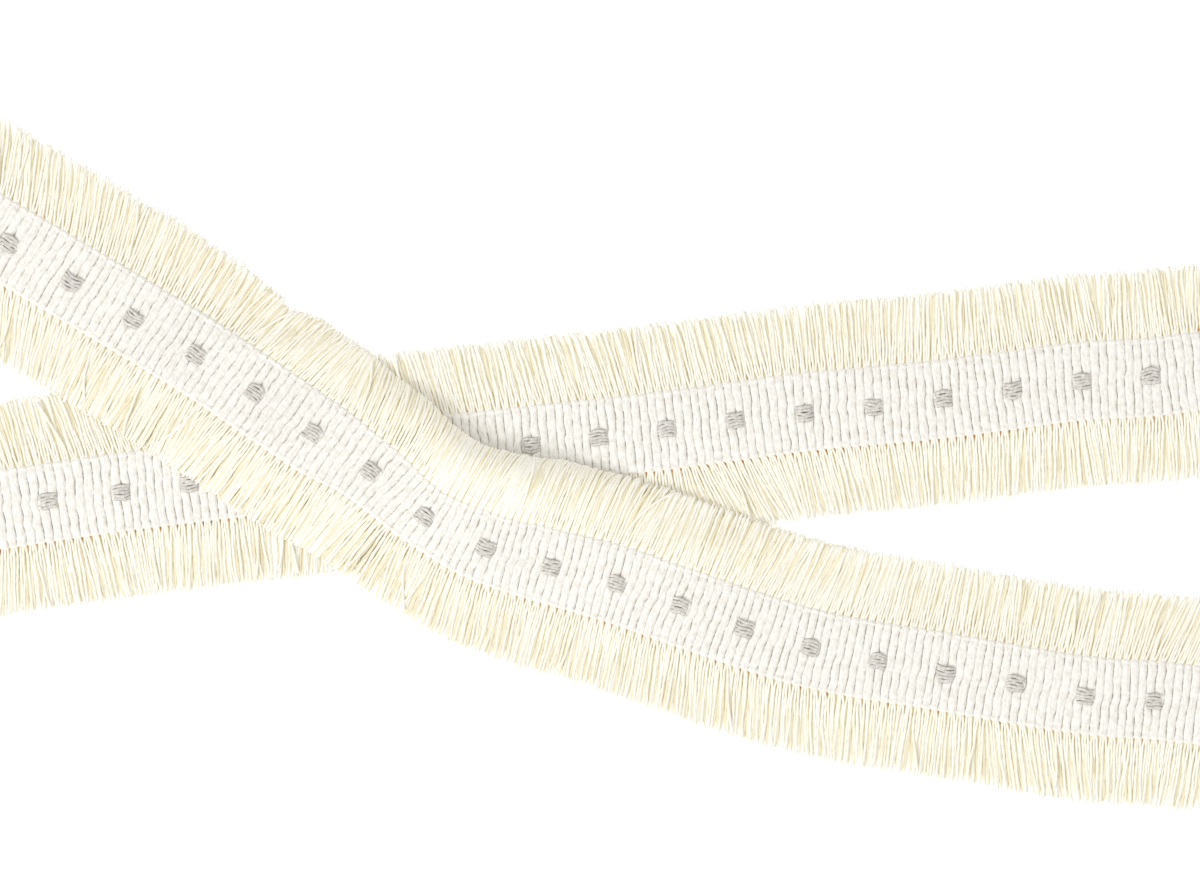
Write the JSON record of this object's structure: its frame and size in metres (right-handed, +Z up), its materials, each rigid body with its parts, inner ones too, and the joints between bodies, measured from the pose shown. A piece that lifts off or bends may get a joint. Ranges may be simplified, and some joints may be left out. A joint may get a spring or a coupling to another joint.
{
  "type": "dot fringe trim",
  "caption": "Ribbed woven band with a row of raised yarn dots along its middle and a cut yarn fringe on both edges, laid flat in a loop that crosses over itself.",
  "frame": {"origin": "on the surface, under the point where the trim's centre line crosses itself", "axes": "+X along the loop towards its closed end, +Y across it towards the lower stretch's far side, +Z up from the surface"},
  "size_m": [0.3706, 0.1651, 0.0085],
  "materials": {
    "ribbed_band": "matt white cotton, ribbed across",
    "fringe_yarn": "soft cream twisted cotton yarn, cut ends",
    "dot_yarn": "warm grey yarn floats"
  },
  "bodies": {
    "root": {"band": "ribbed_band", "fringe_inner_1": "fringe_yarn", "fringe_inner_2": "fringe_yarn", "fringe_inner_3": "fringe_yarn", "fringe_inner_4": "fringe_yarn", "fringe_inner_5": "fringe_yarn", "fringe_inner_6": "fringe_yarn", "fringe_outer_1": "fringe_yarn", "fringe_outer_2": "fringe_yarn", "fringe_outer_3": "fringe_yarn", "fringe_outer_4": "fringe_yarn", "fringe_outer_5": "fringe_yarn", "fringe_outer_6": "fringe_yarn", "dot_01": "dot_yarn", "dot_02": "dot_yarn", "dot_03": "dot_yarn", "dot_04": "dot_yarn", "dot_05": "dot_yarn", "dot_06": "dot_yarn", "dot_07": "dot_yarn", "dot_08": "dot_yarn", "dot_09": "dot_yarn", "dot_10": "dot_yarn", "dot_11": "dot_yarn", "dot_12": "dot_yarn", "dot_13": "dot_yarn", "dot_14": "dot_yarn", "dot_15": "dot_yarn", "dot_16": "dot_yarn", "dot_17": "dot_yarn", "dot_18": "dot_yarn", "dot_19": "dot_yarn", "dot_20": "dot_yarn", "dot_21": "dot_yarn", "dot_22": "dot_yarn", "dot_23": "dot_yarn", "dot_24": "dot_yarn", "dot_25": "dot_yarn", "dot_26": "dot_yarn", "dot_27": "dot_yarn", "dot_28": "dot_yarn", "dot_29": "dot_yarn", "dot_30": "dot_yarn", "dot_31": "dot_yarn", "dot_32": "dot_yarn", "dot_33": "dot_yarn", "dot_34": "dot_yarn", "dot_35": "dot_yarn", "dot_36": "dot_yarn", "dot_37": "dot_yarn", "dot_38": "dot_yarn", "dot_39": "dot_yarn", "dot_40": "dot_yarn", "dot_41": "dot_yarn", "dot_42": "dot_yarn", "dot_43": "dot_yarn", "dot_44": "dot_yarn", "dot_45": "dot_yarn", "dot_46": "dot_yarn"}
  },
  "joints": []
}
